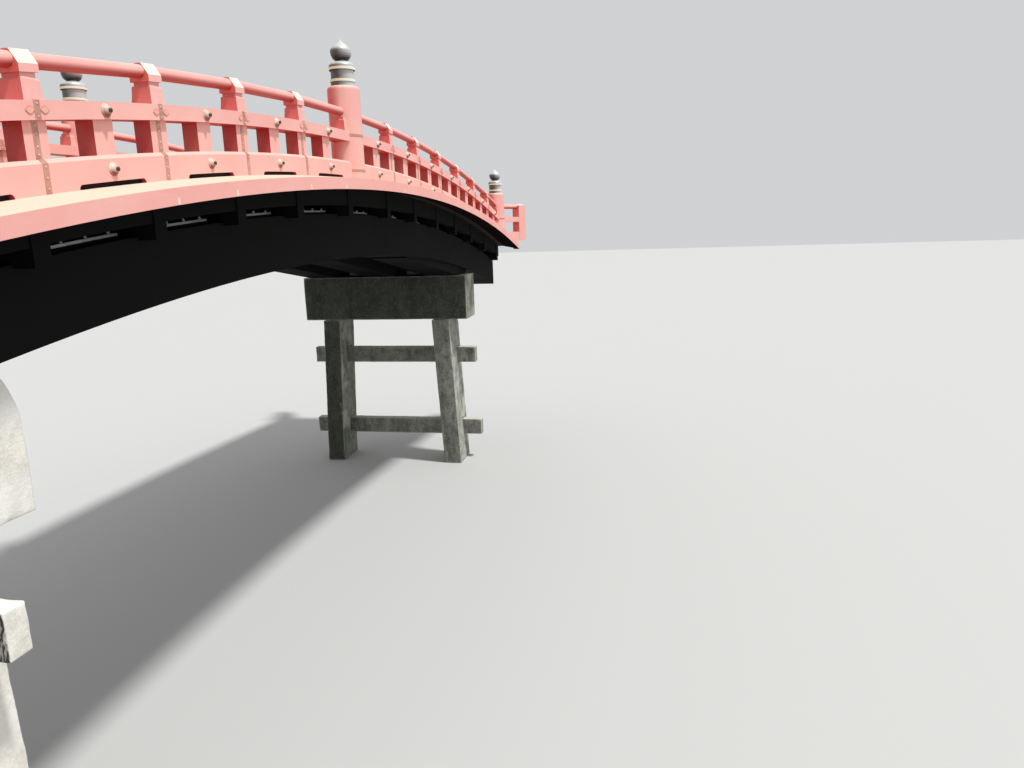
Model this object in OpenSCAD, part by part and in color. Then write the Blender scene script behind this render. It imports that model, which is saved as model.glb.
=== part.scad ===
// Arched timber bridge with lacquered balustrades on two granite gate-shaped piers.
// Origin: middle of the bridge in plan, at the level of the pillars' feet.
// X runs along the bridge to the far bank, Y upstream, Z up. Millimetres.

/* [Arch and deck] */
// Half the distance between the axes of the two end posts
half_span = 14000; // [12000:100:16000]
// Rise of the deck line over the span between end posts
arch_rise = 1563; // [900:1:2200]
// Height of the sills' underside at mid-span above the pillars' feet
deck_h = 8800; // [8200:10:10500]
// Bays between the centre post and an end post
bays = 7; // [5:1:9]
// Extra length of the first half bay beside the centre post
centre_gap = 284; // [200:1:400]
// Length of deck past the end posts' axes
end_run = 360; // [340:10:600]
// Distance between the outer faces of the two balustrades
rail_spread = 6180; // [5600:10:7000]
// Width of the ledge outside each balustrade
ledge_w = 610; // [450:10:800]
// Fall of the ledge towards its outer edge
ledge_fall = 54; // [20:1:90]
// Thickness of the deck planks and ledge boards
plank_t = 120; // [80:5:150]
// Height of the outer edge beam
edge_h = 190; // [120:5:260]
// Thickness of the outer edge beam
edge_t = 200; // [120:5:240]
// Height of the fascia boards between the cross beams
stringer_h = 370; // [250:10:450]
// Thickness of the fascia boards
stringer_t = 180; // [100:5:200]
// Distance of the fascia boards' outer faces inside the balustrade faces
stringer_inset = 200; // [100:10:300]

/* [Girders] */
// Height of the girders
girder_h = 885; // [700:5:1200]
// Thickness of each girder
girder_t = 1200; // [900:10:1400]
// Distance of the outer girders' outer faces inside the balustrade faces
girder_inset = 430; // [300:10:600]
// Height of the cross beams
beam_h = 570; // [450:10:700]
// Thickness of the cross beams
beam_t = 240; // [180:10:320]
// Distance of the cross beams' ends inside the balustrade faces
beam_inset = 180; // [100:10:300]
// Depth of the notches by which the cross beams fit over the girders
cog_h = 45; // [20:5:80]
// Length of the raking corbel beams on the river side of the far cap
corbel_l = 5090; // [4200:10:6000]
// Depth of the corbels' thin noses below the girders
corbel_nose = 40; // [20:5:120]
// Thickness of the corbels across the bridge
corbel_t = 960; // [700:10:1100]
// Distance of the corbels' ends inside the far cap's bank face
corbel_back = 60; // [20:10:200]

/* [Balustrade] */
// Depth of the sill and middle rail
rail_d = 330; // [280:5:400]
// Height of the sill
sill_h = 329; // [250:1:400]
// Chamfer along the top edges of the sill
sill_chamfer = 38; // [15:1:60]
// Height of the middle rail's underside over the deck line
mid_h = 694; // [600:1:800]
// Thickness of the middle rail
mid_t = 183; // [140:1:220]
// Height of the handrail's axis over the deck line
hand_h = 1248; // [1210:1:1300]
// Distance of the handrail's axis inside the balustrade face
hand_in = 150; // [140:1:180]
// Radius of the handrail
hand_r = 78; // [60:1:90]
// Width of the short posts along the bridge
stub_w = 310; // [220:5:360]
// Depth of the short posts across the bridge
stub_d = 215; // [160:5:260]
// Length of the drain slots under the sill
drain_l = 1100; // [600:10:1300]
// Height of the drain slots
drain_h = 52; // [30:1:70]

/* [Posts] */
// Radius of the big round posts
post_r = 310; // [270:5:360]
// Height of the big posts over the deck line
post_h = 1728; // [1600:5:1900]
// Rounding of the big posts' shoulders
post_round = 75; // [20:5:90]
// Height of the onion finials
finial_h = 870; // [750:5:950]
// Largest radius of the finials' bulbs
bulb_r = 200; // [160:5:240]
// Radius of the finials' necks under the bulbs
neck_r = 95; // [70:5:130]
// Side of the saddle blocks under the handrail
saddle_w = 250; // [210:5:280]
// Height of the recessed neck under each saddle
neck_h = 42; // [25:1:60]
// Width of the flared posts at their foot
flare_w = 268; // [250:2:300]
// Width of the flared posts below their shoulders
flare_top_w = 236; // [200:2:246]

/* [Wings] */
// Angle of the wing balustrades from the bridge's axis, in degrees
wing_angle = 35; // [20:1:50]
// Fall of the wings away from the bridge, in degrees
wing_fall = 1; // [0:1:8]
// Distance from an end post to the square post that ends its wing
wing_len = 1200; // [1000:10:1500]
// Side of the square posts
wing_post_w = 340; // [260:10:400]
// Height of the square posts
wing_post_h = 1360; // [1360:10:1600]

/* [Piers] */
// Distance of the near pier's centre from the axes of the near end posts
near_pier_in = 4710; // [4200:10:5200]
// Distance of the far pier's centre from the axes of the far end posts
far_pier_in = 3930; // [3500:10:4500]
// Top of the far cap below the sills' underside at mid-span
far_top = 2510; // [2460:10:2800]
// Height of the near cap
near_cap_h = 1420; // [1100:10:1500]
// Height of the far cap
far_cap_h = 1420; // [1100:10:1600]
// How far the near cap reaches past its pillars
near_cap_over = 770; // [500:10:1000]
// How far the far cap reaches past its pillars
far_cap_over = 615; // [400:5:1000]
// Width of the caps along the bridge
cap_w = 1160; // [1050:10:1300]
// Width of the strip hewn off along the near cap's upper river edge
hewn_w = 240; // [100:10:350]
// Height of that strip
hewn_h = 540; // [300:10:700]
// Width of the pillars across the bridge
pillar_w = 590; // [500:10:750]
// Width of the pillars along the bridge
pillar_d = 1220; // [1000:10:1300]
// Distance between the pillars' centres under the caps
pillar_spread = 3750; // [3400:10:4200]
// Outward lean of the pillars, in degrees
pillar_lean = 2.5; // [0:0.1:3]
// Height of the tie beams
tie_h = 535; // [400:5:700]
// Thickness of the tie beams
tie_t = 300; // [200:10:400]
// Distance of the tie beams' centres from the piers' centres, towards the far bank
tie_off = 220; // [0:10:300]
// How far the tie beams reach past the pillars
tie_reach = 640; // [300:10:900]
// Distance from a cap's underside to the upper tie of the far pier
far_tie_drop = 1000; // [700:10:1200]
// Distance from a cap's underside to the upper tie of the near pier
near_tie_drop = 850; // [700:10:1100]
// Distance from the upper tie's top to the lower tie's top
tie_step = 2500; // [1800:10:2600]

/* [Hidden] */

vermilion = "#c4453a";
black_lacquer = "#1c1c1e";
granite = "#8f8d86";
old_bronze = "#33343a";

// Running gap between pieces that pass through or butt each other
gap = 0.3;
// Straight stretches that make up half of the arch
stretches = 28;
arc_r = (half_span * half_span + arch_rise * arch_rise) / (2 * arch_rise);
bay = (half_span - centre_gap) / bays;
half_len = half_span + end_run;
half_w = rail_spread / 2;
axis_y = half_w - rail_d / 2;
beam_foot = -plank_t - beam_h;
girder_top = beam_foot + cog_h;
girder_bottom = girder_top - girder_h;
far_cap_z = deck_h - far_top;
axis_in = rail_d / 2;
hand_y = half_w - hand_in;
saddle_below = 118;
saddle_eaves = -40;
saddle_above = hand_r + 16;
saddle_ridge = 38;
neck_w = 196;
neck_root = 60;
shoulder = 22;
half_post_in = 10;
// Radii and heights of the finials' parts, from the foot up
skirt_r = 0.73 * post_r;
low_band_r = skirt_r + 8;
drum_r = skirt_r - 8;
high_band_r = skirt_r + 20;
skirt_h = 76;
low_band_h = 50;
drum_h = 166;
high_band_h = 70;
dome_h = 90;
finial_neck_h = 20;
low_band_z = skirt_h + low_band_h;
drum_z = low_band_z + drum_h;
high_band_z = drum_z + high_band_h;
neck_z = high_band_z + dome_h;
bulb_foot = neck_z + finial_neck_h;
// Height of the bulb's widest place
bulb_z = bulb_foot + 0.42 * (finial_h - bulb_foot);
wing_post_roof = 60;
wing_post_peak = 40;
flare_top = hand_h - saddle_below - neck_h;
flare_foot = mid_h + mid_t;
near_x = half_span - near_pier_in;
far_x = half_span - far_pier_in;
near_river = near_x - cap_w / 2;
far_river = far_x - cap_w / 2;
near_cap_l = pillar_spread + pillar_w + 2 * near_cap_over;
far_cap_l = pillar_spread + pillar_w + 2 * far_cap_over;

// Height of a line that runs h above the deck line, at a distance x from mid-span
function line_z(x, h) = deck_h + h - arc_r + sqrt(arc_r * arc_r - x * x);
// Angle of the arch's fall at a distance x from mid-span
function fall_angle(x) = asin(x / arc_r);
// Distance of balustrade position k from mid-span: whole numbers are bays, halves lie between
function place(k) = k == 0 ? 0 : sign(k) * (abs(k) * bay + centre_gap);
// Room round the handrail in a saddle, whose straight bore takes in the bend between two bars
bore_gap = gap + saddle_w / 2 * tan(fall_angle((bay + centre_gap) / 2));
whole_places = [for (s = [-1, 1], k = [1 : bays - 1]) place(s * k)];
half_places = [for (s = [-1, 1], k = [0 : bays - 1]) place(s * (k + 0.5))];
beam_places = [for (k = [-bays : bays]) place(k)];
near_cap_z = line_z(near_river, girder_bottom);
girder_ys = [-half_w + girder_inset + girder_t / 2, 0, half_w - girder_inset - girder_t / 2];
post_places = [-half_span, 0, half_span];
// Places of the half posts, whose axes lie just inside the big posts' faces
against = post_r - half_post_in;
half_post_places = [-half_span + against, -against, against, half_span - against];

rail_stations = [for (i = [-stretches : stretches]) i * half_span / stretches];
deck_stations = concat([-half_len], rail_stations, [half_len]);

// The area between two lines that follow the arch, drawn in the XZ plane
module arch_band(h0, h1, stations) {
    polygon([
        for (x = stations) [x, line_z(x, h0)],
        for (i = [len(stations) - 1 : -1 : 0]) [stations[i], line_z(stations[i], h1)]
    ]);
}
// Gives a drawing in the XZ plane a thickness from y0 to y1
module across(y0, y1) {
    translate([0, y1, 0]) rotate([90, 0, 0]) linear_extrude(y1 - y0) children();
}
// Sweeps a section along the arch: its points are [distance outward, height over the deck line]
module along_arch(section, stations) {
    n = len(section);
    last = n * (len(stations) - 1);
    polyhedron(
        points = [for (x = stations, p = section) [x, -p[0], line_z(x, p[1])]],
        faces = concat(
            [[for (i = [0 : n - 1]) i], [for (i = [n - 1 : -1 : 0]) last + i]],
            [for (s = [0 : n : last - n], i = [0 : n - 1])
                [s + i, s + n + i, s + n + (i + 1) % n, s + (i + 1) % n]]
        ),
        convexity = 6
    );
}
// Puts its children at the downstream side, or mirrors them upstream
module on_side(upstream) {
    mirror([0, upstream ? 1 : 0, 0]) children();
}
// The round holes that the big posts need in sill and rails
module post_holes() {
    for (x = post_places)
        translate([x, -axis_y, deck_h - 2 * arch_rise])
            cylinder(r = post_r + gap, h = 4 * arch_rise, $fn = 96);
}

// Each girder has a level seat cut in its underside where it lies on the near cap
module girder(y) {
    color(black_lacquer)
        across(y - girder_t / 2, y + girder_t / 2) difference() {
            arch_band(girder_bottom, girder_top, deck_stations);
            translate([-near_x - cap_w / 2 - gap, near_cap_z - deck_h]) square([cap_w + 2 * gap, deck_h]);
        }
}
// Raking beams that carry the girders out from the far cap and taper to thin noses
module corbels_far() {
    start_x = far_river - corbel_l;
    end_x = far_x + cap_w / 2 - corbel_back;
    nose_z = line_z(start_x, girder_bottom) - corbel_nose;
    color(black_lacquer)
        for (y = girder_ys)
            across(y - corbel_t / 2, y + corbel_t / 2) intersection() {
                polygon([[start_x, nose_z], [far_river, far_cap_z], [end_x, far_cap_z],
                    [end_x, deck_h], [start_x, deck_h]]);
                arch_band(-deck_h, girder_bottom, deck_stations);
            }
}
// The plumb strips that the cross beams stand in, with slack on both sides
module beam_strips(slack) {
    for (x = beam_places)
        translate([x - beam_t / 2 - slack, 0]) square([beam_t + 2 * slack, 2 * deck_h]);
}
module cross_beams() {
    color(black_lacquer) difference() {
        across(-half_w + beam_inset, half_w - beam_inset) intersection() {
            arch_band(beam_foot, -plank_t, deck_stations);
            beam_strips(0);
        }
        for (y = girder_ys)
            across(y - girder_t / 2 - gap, y + girder_t / 2 + gap)
                arch_band(-deck_h / 2, girder_top, deck_stations);
    }
}
module deck_planks() {
    color(vermilion) across(-half_w, half_w) arch_band(-plank_t, 0, deck_stations);
}
// Ledge board and edge beam in one profile, with the upper side falling outward
module edge_beam(upstream) {
    outer = half_w + ledge_w;
    color(vermilion) on_side(upstream)
        along_arch([[outer - edge_t, -ledge_fall - edge_h], [outer - edge_t, -plank_t], [half_w, -plank_t],
            [half_w, 0], [outer, -ledge_fall], [outer, -ledge_fall - edge_h]], deck_stations);
}
// Fascia boards that fill the spaces between the cross beams' ends
module stringer(upstream) {
    outer = -half_w + stringer_inset;
    color(black_lacquer) on_side(upstream)
        across(outer, outer + stringer_t) difference() {
            arch_band(-plank_t - stringer_h, -plank_t, deck_stations);
            beam_strips(gap);
        }
}

// Side view of the drain slots: their ends are round above the deck
module drain_slots() {
    arm = drain_l / 2 - drain_h;
    for (x = half_places) {
        translate([x - arm, 0]) square([2 * arm, 2 * deck_h]);
        for (end = [x - arm, x + arm])
            translate([end, line_z(end, 0)]) circle(r = drain_h, $fn = 48);
    }
}
// The sill has a bevel along both upper edges, and long, low slots below that drain the deck
module sill(upstream) {
    inner = half_w - rail_d;
    eaves = sill_h - sill_chamfer;
    color(vermilion) on_side(upstream) difference() {
        along_arch([[half_w, eaves], [half_w, 0], [inner, 0], [inner, eaves],
            [inner + sill_chamfer, sill_h], [half_w - sill_chamfer, sill_h]], rail_stations);
        across(-half_w - 1, -inner + 1) intersection() {
            arch_band(-drain_h, drain_h, rail_stations);
            drain_slots();
        }
        post_holes();
    }
}
module stub_posts(upstream) {
    color(vermilion) on_side(upstream)
        across(-half_w + axis_in - stub_d / 2, -half_w + axis_in + stub_d / 2) intersection() {
            arch_band(sill_h, mid_h, rail_stations);
            for (x = concat(whole_places, half_places))
                translate([x - stub_w / 2, 0]) square([stub_w, 2 * deck_h]);
        }
}
module mid_rail(upstream) {
    color(vermilion) on_side(upstream) difference() {
        across(-half_w, -half_w + rail_d) arch_band(mid_h, flare_foot, rail_stations);
        post_holes();
    }
}

// Half width of a flared post at depth d under its shoulder
function flare_half(d, depth) = flare_top_w / 2 + (flare_w - flare_top_w) / 2 * pow(d / depth, 2);
// One side of a flared post, as [offset, depth under the shoulder], from the shoulder down
function flare_side(depth) = [[flare_top_w / 2 - shoulder, 0],
    [flare_top_w / 2 - 0.3 * shoulder, 0.3 * shoulder], [flare_top_w / 2, shoulder],
    each [for (t = [0.3 : 0.14 : 1]) [flare_half(t * depth, depth), t * depth]],
    [flare_w / 2, depth + 2 * flare_w]];
// Outline of a flared post seen square on, with its top following a slope
module flare_outline(slope) {
    side = flare_side(flare_top - flare_foot);
    count = len(side);
    polygon([
        for (p = side) [p[0], -p[1] + slope * p[0]],
        for (i = [count - 1 : -1 : 0]) [-side[i][0], -side[i][1] - slope * side[i][0]]
    ]);
}
// Puts its children on the handrail's axis at a distance x from mid-span, with X along the rail
module on_rail(x) {
    translate([x, -hand_y, line_z(x, hand_h)]) rotate([0, fall_angle(x), 0]) children();
}
// A flared post with its neck, standing on the middle rail at a distance x from mid-span
module flared_post(x) {
    slope = -tan(fall_angle(x));
    intersection() {
        translate([x, -hand_y, line_z(x, flare_top)]) union() {
            intersection() {
                across(-flare_w, flare_w) flare_outline(slope);
                translate([-flare_w, 0, 0]) rotate([90, 0, 90])
                    linear_extrude(2 * flare_w) flare_outline(0);
            }
            translate([-neck_w / 2, -neck_w / 2, -neck_root])
                cube([neck_w, neck_w, neck_root + 2 * neck_h]);
        }
        across(-half_w - flare_w, -half_w + 2 * flare_w)
            arch_band(flare_foot, flare_foot + deck_h, rail_stations);
        on_rail(x) translate([-2 * flare_w, -2 * flare_w, -saddle_below - deck_h])
            cube([4 * flare_w, 4 * flare_w, deck_h]);
    }
}
// Whole posts, and half ones that show on the bridge's sides of the big posts
module flared_posts(upstream) {
    color(vermilion) on_side(upstream) {
        for (x = whole_places) flared_post(x);
        difference() {
            for (x = half_post_places) flared_post(x);
            post_holes();
        }
    }
}
// Section of a saddle block across the handrail: a low roof over a plain block
module saddle_section(below) {
    reach = saddle_w / 2;
    polygon([[-reach, -below], [reach, -below], [reach, saddle_eaves],
        [saddle_ridge, saddle_above], [-saddle_ridge, saddle_above], [-reach, saddle_eaves]]);
}
// A round bar of radius r along the handrail's line over the bay from k to k + 1
module rail_bar(k, r) {
    x0 = place(k);
    x1 = place(k + 1);
    rise = line_z(x1, hand_h) - line_z(x0, hand_h);
    length = norm([x1 - x0, rise]);
    translate([x0, -hand_y, line_z(x0, hand_h)]) rotate([0, 90 - atan2(rise, x1 - x0), 0])
        translate([0, 0, -saddle_w]) cylinder(r = r, h = length + 2 * saddle_w, $fn = 64);
}
// The stretch of space between two plumb planes
module slab(x0, x1) {
    translate([x0, -rail_spread, 0]) cube([x1 - x0, 2 * rail_spread, 3 * deck_h]);
}
module saddles(upstream) {
    reach = saddle_w / 2;
    color(vermilion) on_side(upstream)
        for (k = [-bays + 1 : bays - 1]) if (k != 0) difference() {
            intersection() {
                on_rail(place(k)) translate([-saddle_w, 0, 0]) rotate([90, 0, 90])
                    linear_extrude(2 * saddle_w) saddle_section(saddle_below);
                slab(place(k) - reach, place(k) + reach);
            }
            on_rail(place(k)) rotate([0, 90, 0]) translate([0, 0, -saddle_w])
                cylinder(r = hand_r + bore_gap, h = 2 * saddle_w, $fn = 96);
        }
}
// Round rails from saddle to saddle; their butted ends meet inside the saddles
module handrail(upstream) {
    color(vermilion) on_side(upstream) difference() {
        for (k = [-bays : bays - 1]) intersection() {
            rail_bar(k, hand_r);
            slab(place(k) + gap, place(k + 1) - gap);
        }
        post_holes();
    }
}

// The four corners where a wing leaves an end post
module corners() {
    for (far = [0, 1], up = [0, 1])
        mirror([1 - far, 0, 0]) mirror([0, up, 0])
            translate([half_span, -axis_y, line_z(half_span, 0)]) rotate([0, 0, -wing_angle]) children();
}
wing_slope = tan(wing_fall);
wing_end = wing_len - wing_post_w / 2;
// A straight member along a wing up to its end post, from h0 to h1 over the wing's foot line
module wing_member(h0, h1) {
    across(-rail_d / 2, rail_d / 2)
        polygon([[0, h0], [wing_end, h0 - wing_slope * wing_end],
            [wing_end, h1 - wing_slope * wing_end], [0, h1]]);
}
// Room for the big round post that a wing starts from
module wing_start() {
    translate([0, 0, -wing_len]) cylinder(r = post_r + gap, h = 3 * wing_len, $fn = 96);
}
module wing_sills() {
    color(vermilion) corners() difference() {
        wing_member(0, sill_h);
        wing_start();
    }
}
module wing_mid_rails() {
    color(vermilion) corners() difference() {
        wing_member(mid_h, flare_foot);
        wing_start();
    }
}
module wing_handrails() {
    color(vermilion) corners() difference() {
        intersection() {
            translate([0, 0, hand_h]) rotate([0, 90 + wing_fall, 0]) translate([0, 0, -wing_len])
                cylinder(r = hand_r, h = 3 * wing_len, $fn = 64);
            translate([0, -rail_d, 0]) cube([wing_end, 2 * rail_d, 2 * hand_h]);
        }
        wing_start();
    }
}
// Side view of a square post with a low roof
module wing_post_side() {
    half = wing_post_w / 2;
    polygon([[-half, 0], [half, 0], [half, wing_post_h - wing_post_roof], [wing_post_peak, wing_post_h],
        [-wing_post_peak, wing_post_h], [-half, wing_post_h - wing_post_roof]]);
}
module wing_end_posts() {
    reach = wing_post_w / 2;
    color(vermilion) corners() translate([wing_len, 0, -wing_slope * wing_len]) intersection() {
        across(-reach, reach) wing_post_side();
        rotate([0, 0, 90]) across(-reach, reach) wing_post_side();
    }
}

// A big round post with a rounded shoulder, whose top is post_h over its place
module round_post(foot) {
    rotate_extrude($fn = 96) polygon([[0, foot], [post_r, foot],
        for (a = [0 : 15 : 90]) [post_r - post_round * (1 - cos(a)), post_h - post_round * (1 - sin(a))],
        [0, post_h]]);
}
module main_posts() {
    color(vermilion) for (up = [0, 1]) mirror([0, up, 0]) difference() {
        for (x = post_places) translate([x, -axis_y, line_z(x, 0)]) round_post(-post_r);
        across(-half_w - 2 * post_r, 0) arch_band(-deck_h / 2, 0, deck_stations);
    }
}
// An onion finial from its foot up: skirt, drum between two bands, dome, neck, bulb and drawn-out tip
module finial() {
    rotate_extrude($fn = 96) polygon([[0, 0], [skirt_r, 0], [skirt_r, skirt_h], [low_band_r, skirt_h],
        [low_band_r, low_band_z], [drum_r, low_band_z], [drum_r, drum_z], [high_band_r, drum_z],
        each [for (a = [0 : 15 : 90])
            [neck_r + (high_band_r - neck_r) * cos(a), high_band_z + dome_h * sin(a)]],
        each [for (a = [0 : 15 : 90])
            [neck_r + (bulb_r - neck_r) * sin(a), bulb_z - (bulb_z - bulb_foot) * cos(a)]],
        each [for (t = [0.12 : 0.11 : 0.95])
            [bulb_r * pow((1 + cos(180 * t)) / 2, 0.8), bulb_z + (finial_h - bulb_z) * t]],
        [0, finial_h]]);
}
module finials() {
    color(old_bronze) for (up = [0, 1]) mirror([0, up, 0]) for (x = post_places)
        translate([x, -axis_y, line_z(x, 0) + post_h]) finial();
}

// Outer face of a pillar, from the bridge's middle, at a depth under its cap
function pillar_face(depth) = pillar_spread / 2 + pillar_w / 2 + depth * tan(pillar_lean);
// A tie beam with its top at depth under the cap's underside; slack is the room left round it
module tie(x, cap_bottom, depth, slack) {
    reach = pillar_face(depth) + tie_reach;
    translate([x - tie_t / 2 - slack, -reach - slack, cap_bottom - depth - tie_h])
        cube([tie_t + 2 * slack, 2 * (reach + slack), tie_h + slack]);
}
// A cap whose upper river edge is hewn back in a flat curve, or left square where w is 0
module cap(x, top_z, h, l, w) {
    river = x < 0 ? 1 : -1;
    color(granite) across(-l / 2, l / 2) translate([x, top_z]) scale([river, 1]) polygon([
        [-cap_w / 2, 0], [-cap_w / 2, -h], [cap_w / 2, -h],
        each w == 0 ? [[cap_w / 2, 0]] : [for (a = [0 : 15 : 90])
            [cap_w / 2 - w * (1 - pow(cos(a), 4 / 3)), -hewn_h * (1 - pow(sin(a), 4 / 3))]]
    ]);
}
// A leaning pillar that ends level under its cap and at its foot
module pillar(x, cap_bottom, tie_x, tie_drop, upstream) {
    color(granite) difference() {
        on_side(upstream) intersection() {
            translate([x - pillar_d / 2, -pillar_spread / 2, cap_bottom]) rotate([-pillar_lean, 0, 0])
                translate([0, -pillar_w / 2, -1.2 * deck_h]) cube([pillar_d, pillar_w, 1.5 * deck_h]);
            translate([x - pillar_d, -2 * half_w, 0]) cube([2 * pillar_d, 4 * half_w, cap_bottom]);
        }
        tie(tie_x, cap_bottom, tie_drop, gap);
        tie(tie_x, cap_bottom, tie_drop + tie_step, gap);
    }
}
near_bottom = near_cap_z - near_cap_h;
far_bottom = far_cap_z - far_cap_h;
near_tie_x = -near_x + tie_off;
far_tie_x = far_x + tie_off;

module pillar_near_downstream() pillar(-near_x, near_bottom, near_tie_x, near_tie_drop, false);
module pillar_near_upstream() pillar(-near_x, near_bottom, near_tie_x, near_tie_drop, true);
module cap_near() cap(-near_x, near_cap_z, near_cap_h, near_cap_l, hewn_w);
module tie_upper_near() color(granite) tie(near_tie_x, near_bottom, near_tie_drop, 0);
module tie_lower_near() color(granite) tie(near_tie_x, near_bottom, near_tie_drop + tie_step, 0);
module pillar_far_downstream() pillar(far_x, far_bottom, far_tie_x, far_tie_drop, false);
module pillar_far_upstream() pillar(far_x, far_bottom, far_tie_x, far_tie_drop, true);
module cap_far() cap(far_x, far_cap_z, far_cap_h, far_cap_l, 0);
module tie_upper_far() color(granite) tie(far_tie_x, far_bottom, far_tie_drop, 0);
module tie_lower_far() color(granite) tie(far_tie_x, far_bottom, far_tie_drop + tie_step, 0);
module girder_downstream() girder(girder_ys[0]);
module girder_middle() girder(girder_ys[1]);
module girder_upstream() girder(girder_ys[2]);
module edge_beam_downstream() edge_beam(false);
module edge_beam_upstream() edge_beam(true);
module stringer_downstream() stringer(false);
module stringer_upstream() stringer(true);
module sill_downstream() sill(false);
module sill_upstream() sill(true);
module stub_posts_downstream() stub_posts(false);
module stub_posts_upstream() stub_posts(true);
module mid_rail_downstream() mid_rail(false);
module mid_rail_upstream() mid_rail(true);
module flared_posts_downstream() flared_posts(false);
module flared_posts_upstream() flared_posts(true);
module saddles_downstream() saddles(false);
module saddles_upstream() saddles(true);
module handrail_downstream() handrail(false);
module handrail_upstream() handrail(true);

pillar_near_downstream();
pillar_near_upstream();
cap_near();
tie_upper_near();
tie_lower_near();
pillar_far_downstream();
pillar_far_upstream();
cap_far();
tie_upper_far();
tie_lower_far();
girder_downstream();
girder_middle();
girder_upstream();
corbels_far();
cross_beams();
deck_planks();
edge_beam_downstream();
edge_beam_upstream();
stringer_downstream();
stringer_upstream();
sill_downstream();
sill_upstream();
stub_posts_downstream();
stub_posts_upstream();
mid_rail_downstream();
mid_rail_upstream();
flared_posts_downstream();
flared_posts_upstream();
saddles_downstream();
saddles_upstream();
handrail_downstream();
handrail_upstream();
main_posts();
finials();
wing_sills();
wing_mid_rails();
wing_handrails();
wing_end_posts();
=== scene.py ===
"""Looks for the arched timber bridge: lacquer, granite, bronze fittings, planks and studio light."""

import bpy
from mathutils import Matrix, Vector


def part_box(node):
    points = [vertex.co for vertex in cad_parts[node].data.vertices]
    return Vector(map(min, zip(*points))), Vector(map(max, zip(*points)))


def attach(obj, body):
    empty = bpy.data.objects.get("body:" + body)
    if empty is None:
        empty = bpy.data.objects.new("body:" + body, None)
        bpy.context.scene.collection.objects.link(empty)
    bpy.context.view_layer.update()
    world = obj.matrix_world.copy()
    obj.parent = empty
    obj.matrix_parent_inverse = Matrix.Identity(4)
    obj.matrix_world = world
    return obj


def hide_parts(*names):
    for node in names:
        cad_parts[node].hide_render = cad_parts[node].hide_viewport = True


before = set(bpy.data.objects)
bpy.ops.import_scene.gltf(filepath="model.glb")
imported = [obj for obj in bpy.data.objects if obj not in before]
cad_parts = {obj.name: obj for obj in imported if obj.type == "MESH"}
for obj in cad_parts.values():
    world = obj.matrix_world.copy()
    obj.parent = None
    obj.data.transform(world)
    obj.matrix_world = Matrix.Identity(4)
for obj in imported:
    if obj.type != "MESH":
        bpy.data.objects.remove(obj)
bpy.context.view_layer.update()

import math

import bmesh
import bpy
from mathutils import Matrix, Vector, noise

# Sizes of the bridge, in metres, as its source has them
HALF_SPAN = 14.0
RISE = 1.563
DECK_H = 8.8
BAYS = 7
CENTRE_GAP = 0.284
HALF_LEN = 14.36
HALF_W = 3.09
LEDGE_W = 0.61
LEDGE_FALL = 0.054
EDGE_H = 0.19
PLANK_T = 0.12
RAIL_D = 0.33
SILL_H = 0.329
SILL_CHAMFER = 0.038
MID_H = 0.694
MID_TOP = 0.877
STUB_D = 0.215
POST_R = 0.31
POST_H = 1.728
SKIRT_R = 0.73 * POST_R
BEAM_T = 0.24
GIRDER_TOP = -0.645
BAY = (HALF_SPAN - CENTRE_GAP) / BAYS
ARC_R = (HALF_SPAN**2 + RISE**2) / (2 * RISE)
AXIS_Y = HALF_W - RAIL_D / 2


def line_z(x, h=0.0):
    """Height of the line that runs h above the deck line."""
    return DECK_H + h - ARC_R + math.sqrt(ARC_R**2 - x * x)


def place(k):
    """Distance of balustrade position k from mid-span."""
    return math.copysign(abs(k) * BAY + CENTRE_GAP, k) if k else 0.0


SIDES = (-1, 1)
ALONG = Vector((1, 0, 0))
UP = Vector((0, 0, 1))

# Balustrade positions with a short post, and the ones half a bay from them
WHOLE = [s * place(k) for s in SIDES for k in range(1, BAYS)]
HALVES = [s * place(k + 0.5) for s in SIDES for k in range(BAYS)]


# Materials

BEAM_GRAIN = (0.6, 9.0, 9.0)
PLANK_GRAIN = (9.0, 0.5, 9.0)


def srgb(r, g, b):
    """Linear colour with alpha from 8-bit sRGB values."""
    def one(v):
        v /= 255
        return v / 12.92 if v <= 0.04045 else ((v + 0.055) / 1.055) ** 2.4
    return (one(r), one(g), one(b), 1.0)


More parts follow.
